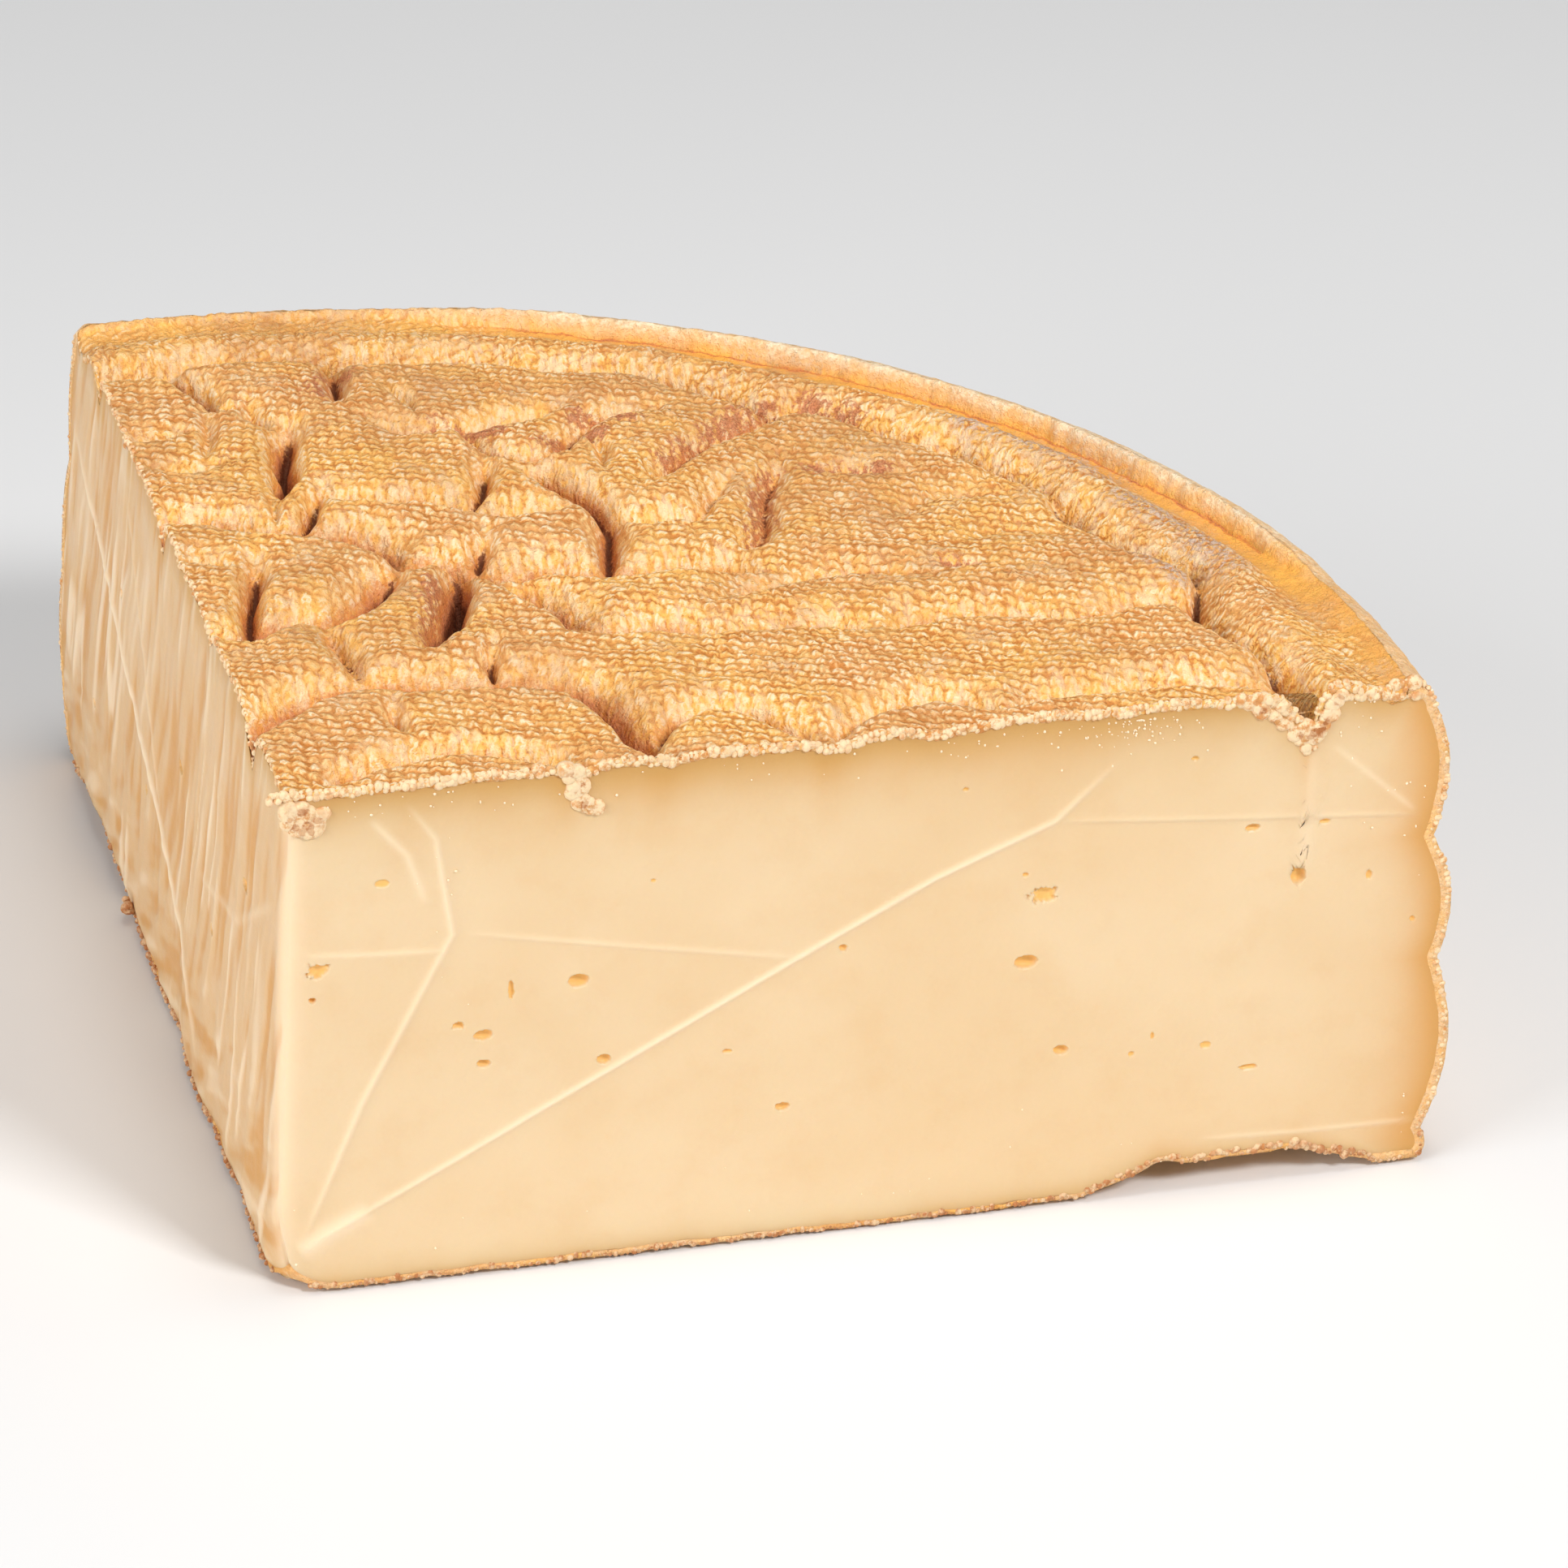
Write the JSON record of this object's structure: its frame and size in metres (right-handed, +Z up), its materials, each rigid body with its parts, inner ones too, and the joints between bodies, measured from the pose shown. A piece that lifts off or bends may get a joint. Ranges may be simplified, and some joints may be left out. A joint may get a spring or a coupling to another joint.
{
  "type": "vacherin fribourgeois cheese quarter wheel",
  "caption": "Quarter of a washed-rind cheese wheel: cloth-pressed, folded rind over a pale paste with small eyes on its cut faces.",
  "frame": {"origin": "middle of the footprint's bounding box, on the underside", "axes": "+Z up; the front cut faces -Y and its length runs along X; the leaning left cut faces -X; the round rind wall faces +X and +Y"},
  "size_m": [0.1794, 0.1726, 0.0802],
  "materials": {
    "paste": "smooth, slightly moist cheese paste, pale ivory yellow",
    "rind": "dry washed rind with a cloth weave pressed in, ochre to orange, dusted with pale bloom"
  },
  "bodies": {
    "root": {"cheese": "paste"}
  },
  "joints": []
}
